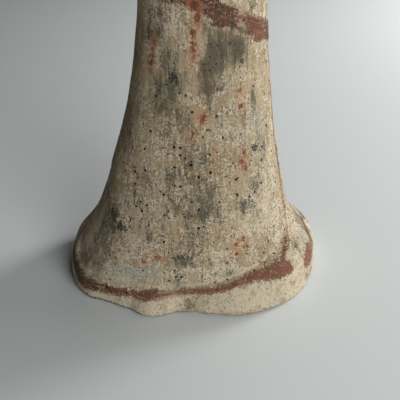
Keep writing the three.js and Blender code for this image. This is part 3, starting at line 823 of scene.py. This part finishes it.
def build_figurine():
    """Builds the clay with its fine relief, and gives each point what the finish depends on."""
    points, faces = surface_net(clay_form, NET_LOW, NET_HIGH, NET_STEP)
    edges = mesh_edges(faces)
    for _ in range(2):
        points = project(clay_form, relax(points, edges, 2), 2)
    mesh = refine(points, faces)
    data = bpy.data.meshes.new("figurine_skin")
    mesh.to_mesh(data)
    mesh.free()
    flat = np.empty(len(data.vertices) * 3, np.float64)
    data.vertices.foreach_get("co", flat)
    points = project(clay_form, flat.reshape(-1, 3))
    slope = gradient(clay_form, points)
    normals = slope / np.linalg.norm(slope, axis=1, keepdims=True)
    angle, radius = chart(points)
    z = points[:, 2]
    height = relief(points, (angle, radius, z)) * smoothstep(0.2, 3, z)
    raised = points + normals * height[:, None]
    raised[:, 2] = np.maximum(raised[:, 2], 0)
    data.vertices.foreach_set("co", ((raised + ORIGIN_SHIFT) * MM).ravel())
    data.update()
    data.shade_smooth()
    for name, values in paint_fields(points, normals).items():
        data.attributes.new(name, "FLOAT", "POINT").data.foreach_set("value", values.astype(np.float32))
    piece = bpy.data.objects.new("figurine_painted", data)
    bpy.context.collection.objects.link(piece)
    return piece


def plain_material(name, colour, roughness):
    material = bpy.data.materials.new(name)
    material.use_nodes = True
    shader = material.node_tree.nodes["Principled BSDF"]
    shader.inputs["Base Color"].default_value = (*colour, 1)
    shader.inputs["Roughness"].default_value = roughness
    return material


NOISE_GAIN = 2.2  # brings the noise to about -1 and 1


class Recipe:
    """A material's nodes. Each call adds one, fed by numbers, colours or other nodes' results."""

    def __init__(self, name, roughness):
        self.material = bpy.data.materials.new(name)
        self.material.use_nodes = True
        self.tree = self.material.node_tree
        self.shader = self.tree.nodes["Principled BSDF"]
        self.shader.inputs["Roughness"].default_value = roughness
        self.shader.inputs["Specular IOR Level"].default_value = 0.25

    def feed(self, socket, value):
        if isinstance(value, bpy.types.NodeSocket):
            self.tree.links.new(value, socket)
        elif isinstance(value, tuple) and socket.type == "RGBA":
            socket.default_value = (*value, 1)
        else:
            socket.default_value = value

    def node(self, kind, settings, inputs, output=0):
        node = self.tree.nodes.new(kind)
        for name, value in settings.items():
            setattr(node, name, value)
        for name, value in inputs.items():
            self.feed(node.inputs[name], value)
        return node.outputs[output]

    def maths(self, operation, first, second):
        return self.node("ShaderNodeMath", {"operation": operation}, {0: first, 1: second})

    def add(self, *terms):
        """Adds results. A pair stands for a result and its weight."""
        terms = [self.times(*term) if isinstance(term, tuple) else term for term in terms]
        total = terms[0]
        for term in terms[1:]:
            total = self.maths("ADD", total, term)
        return total

    def times(self, *factors):
        total = factors[0]
        for factor in factors[1:]:
            total = self.maths("MULTIPLY", total, factor)
        return total

    def step(self, low, high, *terms):
        """0 where the terms add up to less than one value and 1 above the other, with a soft step between."""
        inputs = {"Value": self.add(*terms), "From Min": low, "From Max": high}
        return self.node("ShaderNodeMapRange", {"interpolation_type": "SMOOTHSTEP"}, inputs)

    def blend(self, under, over, *shares):
        """One colour laid over another by the product of the shares."""
        inputs = {0: self.times(*shares), 6: under, 7: over}
        return self.node("ShaderNodeMix", {"data_type": "RGBA"}, inputs, 2)

    def field(self, name):
        return self.node("ShaderNodeAttribute", {"attribute_name": name}, {}, "Fac")

    def place(self, stretch=(1, 1, 1)):
        """Where each point lies on the figure, in millimetres, and stretched."""
        here = self.node("ShaderNodeTexCoord", {}, {}, "Object")
        scale = tuple(share / MM for share in stretch)
        return self.node("ShaderNodeVectorMath", {"operation": "MULTIPLY"}, {0: here, 1: scale})

    def noise(self, place, size, detail=2.0, roughness=0.5):
        """Noise about 0, mostly between -1 and 1, with lumps of the given size."""
        inputs = {"Vector": place, "Scale": 1 / size, "Detail": detail, "Roughness": roughness}
        return self.times(self.node("ShaderNodeTexNoise", {"normalize": False}, inputs), NOISE_GAIN)

    def warped(self, place, reach):
        """The same places, pushed about by a fine noise so that round things turn ragged."""
        inputs = {"Vector": place, "Scale": 0.9}
        wobble = self.node("ShaderNodeTexNoise", {"normalize": False}, inputs, "Color")
        inputs = {0: wobble, "Scale": reach * NOISE_GAIN}
        push = self.node("ShaderNodeVectorMath", {"operation": "SCALE"}, inputs)
        return self.node("ShaderNodeVectorMath", {"operation": "ADD"}, {0: place, 1: push})

    def specks(self, place, spacing, radius, soft=0.35):
        """Round specks of many sizes up to a radius, 1 inside them."""
        cell = {"Vector": place, "Scale": 1 / spacing}
        distance = self.node("ShaderNodeTexVoronoi", {}, cell, "Distance")
        colour = self.node("ShaderNodeTexVoronoi", {}, cell, "Color")
        size = self.times(self.node("ShaderNodeSeparateColor", {}, {0: colour}, 0), radius / spacing)
        return self.step(0.0, soft * radius / spacing, self.maths("SUBTRACT", size, distance))

    def finish(self, colour, height):
        """Sets the colour, and the fine height in millimetres."""
        self.feed(self.shader.inputs["Base Color"], colour)
        bump = self.node("ShaderNodeBump", {}, {"Height": height, "Distance": MM, "Strength": 1.0})
        self.feed(self.shader.inputs["Normal"], bump)
        return self.material


# Colours, as shares of the light that each gives back
CREAM = (0.543, 0.422, 0.269)
PALE = (0.85, 0.749, 0.56)
TAN = (0.378, 0.262, 0.136)
CLAY = (0.136, 0.098, 0.053)
RAW_CLAY = (0.2, 0.165, 0.125)
SOOT_GREY = (0.08, 0.073, 0.048)
CRUST_GREEN = (0.041, 0.042, 0.032)
FILM_GREY = (0.52, 0.52, 0.455)
EARTH_BROWN = (0.224, 0.13, 0.047)
BLUSH_PINK = (0.531, 0.295, 0.159)
BRICK = (0.295, 0.112, 0.066)
MAROON = (0.13, 0.057, 0.037)
SCARLET = (0.319, 0.047, 0.025)
SPECK_BLACK = (0.017, 0.014, 0.011)
HAIR_BLACK = (0.035, 0.028, 0.022)


class Finish(Recipe):
    """The figurine's finish, with the noises that its layers share, from the broadest to the finest."""

    def __init__(self, name, roughness):
        super().__init__(name, roughness)
        self.here = self.place()
        upright = self.place(BRUSHED)
        self.broad = self.noise(self.here, 26, 2)
        self.veil = self.noise(self.place((1, 1, 0.5)), 11, 3, 0.6)
        self.mottle = self.noise(self.here, 7, 5, 0.65)
        self.streaks = self.noise(upright, 2.2, 5, 0.75)
        self.grain = self.noise(self.here, 1.7, 4, 0.85)
        self.fine_streaks = self.noise(upright, 1.0, 3, 0.7)
        self.dust = self.noise(self.here, 0.9, 2, 0.7)
        self.rough = self.add((self.grain, 0.5), (self.fine_streaks, 0.22), (self.dust, 0.65))
        self.rubbed = self.times(self.rough, self.field("speckled"))


def brushed_slip(mat):
    """Cream slip brushed upright over grey clay, with a film, blushes, earth and painted contact shade on it,
    and painted light on the foot.
    """
    # Paler where clean, and below the hem's band also painted light on the up-facing foot
    clean_and_lit = mat.field("clean_and_lit")
    tanned = mat.step(-0.5, 1.4, mat.broad, (mat.streaks, 0.5))
    pale = mat.step(-0.3, 1.4, (mat.mottle, 0.8), (mat.rubbed, -0.85), (clean_and_lit, 1.4))
    thin = mat.step(0.0, 1.5, (mat.streaks, 0.28), (mat.mottle, 0.3), mat.rubbed, (clean_and_lit, -0.8))
    film = mat.step(0.2, 0.9, mat.field("film"), (mat.mottle, 0.15), (mat.rough, 0.3))
    blush = mat.step(0.1, 0.8, mat.field("blush"), (mat.rough, 0.3))
    # Earth stains, and the brown strip of painted contact shade along the bottom
    earth_and_rim_shade = mat.step(0.2, 1.0, mat.field("earth_and_rim_shade"), (mat.mottle, 0.2), (mat.rough, 0.35))
    slip = mat.blend(CREAM, TAN, tanned, 0.6)
    slip = mat.blend(slip, PALE, pale, 0.8)
    slip = mat.blend(slip, CLAY, thin, 0.65)
    slip = mat.blend(slip, FILM_GREY, film, 0.8)
    slip = mat.blend(slip, BLUSH_PINK, blush, 0.7)
    return mat.blend(slip, EARTH_BROWN, earth_and_rim_shade, 0.65)


def red_bands(mat, under):
    """Brick red that darkens to maroon, worn through in streaks along the bands. Also gives its share."""
    covered = mat.step(-0.35, 0.4, mat.field("red"), (mat.mottle, 0.3), (mat.rough, 0.9))
    lengthways = {0: mat.times(mat.field("along"), 0.07), 1: mat.field("across")}
    streaks = mat.noise(mat.node("ShaderNodeCombineXYZ", {}, lengthways), 1.0, 4, 0.7)
    worn = mat.step(0.45, 1.0, mat.field("wear"), (streaks, 0.5), (mat.rough, 0.5), (mat.mottle, 0.15))
    dark = mat.step(-0.1, 1.0, mat.field("dark"), (streaks, 0.9), (mat.rough, 0.3))
    share = mat.times(covered, mat.add(1.0, (worn, -0.9)))
    paint = mat.blend(under, mat.blend(BRICK, MAROON, dark), share)
    lip = mat.step(0.3, 0.9, mat.field("lip"), (mat.rough, 0.5))
    return mat.blend(paint, PALE, lip, 0.6), share


def soot_and_crusts(mat, under):
    """Flecked patches of soot, and crusts over them, with black dirt and painted contact shade along the rim.
    Also gives the share of the crusts and the rim's dirt and shade.
    """
    patchy = mat.add((mat.veil, 0.32), (mat.streaks, 0.12), (mat.mottle, 0.14), (mat.rubbed, 0.16))
    soot = mat.step(0.15, 1.2, mat.field("soot"), patchy, (mat.field("clean_and_lit"), -0.45))
    flecks = mat.step(0.0, 1.4, (mat.dust, 0.6), (mat.fine_streaks, 0.35), (mat.grain, 0.3))
    paint = mat.blend(under, SOOT_GREY, soot, mat.add(0.86, (flecks, -0.35)))
    # The crusts, and the rim's black dirt with painted contact shade
    crust = mat.step(0.25, 0.75, mat.field("deposit_and_rim_shade"), (mat.rough, 0.3))
    return mat.blend(paint, CRUST_GREEN, crust, 0.9), crust


def black_specks(mat, under):
    """Specks of three sizes. Also gives the shares of the small and the large ones."""
    small = mat.specks(mat.here, 1.3, 0.7)
    pinholes = mat.specks(mat.warped(mat.here, 0.2), 3.1, 0.95, 0.25)
    large = mat.specks(mat.warped(mat.here, 0.4), 8.0, 1.3, 0.3)
    speckled = mat.field("speckled")
    crowded = mat.step(-0.6, 0.8, mat.mottle, mat.broad)
    paint = mat.blend(under, SPECK_BLACK, small, crowded, speckled, 0.5)
    paint = mat.blend(paint, SPECK_BLACK, pinholes, speckled, mat.add(0.95, (mat.field("clean_and_lit"), -0.6)))
    return mat.blend(paint, SPECK_BLACK, large, 0.95), small, large


def red_drips(mat, under):
    """Drops and runs of red, each in a pink halo."""
    drips = mat.field("drips")
    edge = mat.add(drips, (mat.rough, 0.65))
    paint = mat.blend(under, BLUSH_PINK, mat.step(-2.6, 0.0, edge), 0.6)
    red = mat.blend(SCARLET, MAROON, mat.step(-0.2, 1.6, drips, (mat.rough, 0.8)))
    return mat.blend(paint, red, mat.step(-0.5, 0.6, edge), 0.9)


def painted_head(mat, under):
    """Worn black hair, dark brows and lids, and red lips. Also gives the height of the combed hair."""
    edge = mat.step(0.0, 0.8, mat.field("hair"), (mat.rough, 0.6), (mat.mottle, 0.4))
    strands = mat.node("ShaderNodeCombineXYZ", {}, {0: mat.times(mat.field("strand"), 40.0)})
    combed = mat.noise(strands, 0.5, 2)
    hair = mat.times(edge, mat.step(1.7, 0.5, mat.mottle, (combed, 0.5)))
    lines = mat.step(-0.25, 0.25, mat.field("brows"), (mat.rough, 0.3))
    lips = mat.step(-0.2, 0.5, mat.field("lips"), (mat.rough, 0.4))
    paint = mat.blend(under, HAIR_BLACK, hair, 0.88)
    paint = mat.blend(paint, HAIR_BLACK, lines, 0.7)
    return mat.blend(paint, BRICK, lips, 0.75), mat.times(hair, combed)


def painted_slip():
    """The whole finish: the slip, the red bands and what time has laid on both, with painted contact shade
    along the rim and painted light on the foot, and raw clay inside.
    """
    mat = Finish("painted_slip", 0.93)
    paint, red = red_bands(mat, brushed_slip(mat))
    paint, crust = soot_and_crusts(mat, paint)
    paint, small, large = black_specks(mat, paint)
    paint, combed = painted_head(mat, red_drips(mat, paint))
    inside = mat.blend(RAW_CLAY, CLAY, mat.step(-0.8, 1.2, mat.mottle, (mat.rough, 0.5)))
    ground = mat.add((mat.rough, -0.12), (mat.streaks, -0.06), (red, 0.08), (crust, 0.15))
    height = mat.add(ground, (large, -0.4), (small, -0.12), (combed, 0.1))
    return mat.finish(mat.blend(inside, paint, mat.field("outside")), height)


figurine = build_figurine()
figurine.data.materials.append(painted_slip())
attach(figurine, "root")
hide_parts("figurine")


# The pale floor
FLOOR_SIDE = 12.0
FLOOR_COLOUR = (0.727, 0.766, 0.757)
half = FLOOR_SIDE / 2
corners = [(-half, -half, 0), (half, -half, 0), (half, half, 0), (-half, half, 0)]
floor_mesh = bpy.data.meshes.new("floor")
floor_mesh.from_pydata(corners, [], [(0, 1, 2, 3)])
floor = bpy.data.objects.new("floor", floor_mesh)
bpy.context.collection.objects.link(floor)
floor.data.materials.append(plain_material("pale_floor", FLOOR_COLOUR, 0.85))

# The camera, which looks down at the foot
CAMERA_PLACE = np.array([4.375, -346.08, 244.55]) + ORIGIN_SHIFT
CAMERA_PITCH = math.radians(30)
FIELD_OF_VIEW = math.radians(33)
camera_data = bpy.data.cameras.new("camera")
camera_data.angle = FIELD_OF_VIEW
camera_data.clip_start = 0.01
camera = bpy.data.objects.new("camera", camera_data)
camera.location = CAMERA_PLACE * MM
camera.rotation_euler = (math.pi / 2 - CAMERA_PITCH, 0, 0)
bpy.context.collection.objects.link(camera)
bpy.context.scene.camera = camera


# Soft light from the right: each light's name, place, what it faces, size and watts
LIGHTS = (
    ("window_front", (0.6, -1.0, 0.5), (0, 0, 0.1), 0.8, 7.7),
    ("window_high", (0.9, -0.9, 0.9), (0, 0, 0.1), 1.2, 4.0),
    ("window_side", (0.75, 0.25, 0.55), (0, 0, 0.1), 0.6, 1.6),
    ("window_back", (0.9, 0.6, 0.36), (0.25, 0.3, 0), 0.4, 8.6),
    ("sky", (0.5, 1.1, 1.2), (0, 0.2, 0.1), 1.0, 2.2),
)
WORLD_STRENGTH = 0.02


def area_light(name, place, target, size, watts):
    data = bpy.data.lights.new(name, "AREA")
    data.shape = "DISK"
    data.size = size
    data.energy = watts
    light = bpy.data.objects.new(name, data)
    light.location = place
    x, y, z = np.subtract(target, place)
    light.rotation_euler = (math.atan2(math.hypot(x, y), -z), 0, math.atan2(y, x) - math.pi / 2)
    bpy.context.collection.objects.link(light)


for light in LIGHTS:
    area_light(*light)
world = bpy.data.worlds.new("studio")
world.use_nodes = True
background = world.node_tree.nodes["Background"]
background.inputs["Color"].default_value = (1, 1, 1, 1)
background.inputs["Strength"].default_value = WORLD_STRENGTH
bpy.context.scene.world = world
bpy.context.scene.view_settings.view_transform = "Standard"
